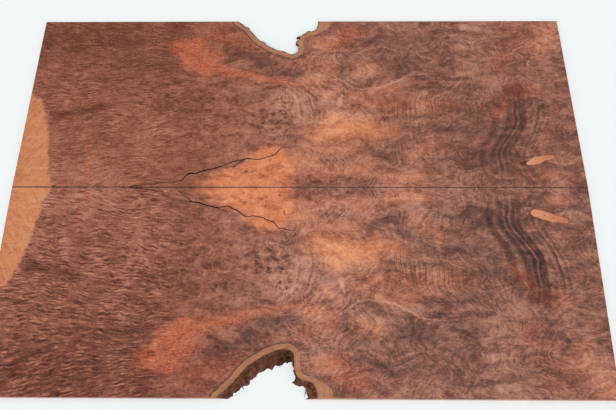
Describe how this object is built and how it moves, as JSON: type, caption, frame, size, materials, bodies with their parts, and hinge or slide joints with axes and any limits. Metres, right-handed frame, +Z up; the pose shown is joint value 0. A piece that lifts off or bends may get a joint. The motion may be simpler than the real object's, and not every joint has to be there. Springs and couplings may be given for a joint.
{
  "type": "bookmatched sequoia burl board",
  "caption": "Flat bookmatched burl board: mirrored wood leaves lie edge to edge along a seam, each with a bay of bark edge in its outer side and a drying crack from the seam.",
  "frame": {"origin": "on the underside, at the middle of the seam between the two leaves", "axes": "+X along the seam, +Y across the board towards leaf_far, +Z up out of the show face"},
  "size_m": [0.55, 0.4002, 0.004],
  "materials": {
    "burl_wood": "sanded, satin, unvarnished burl wood with bark left on the natural edge"
  },
  "bodies": {
    "root": {"leaf_near": "burl_wood", "leaf_far": "burl_wood"}
  },
  "joints": []
}
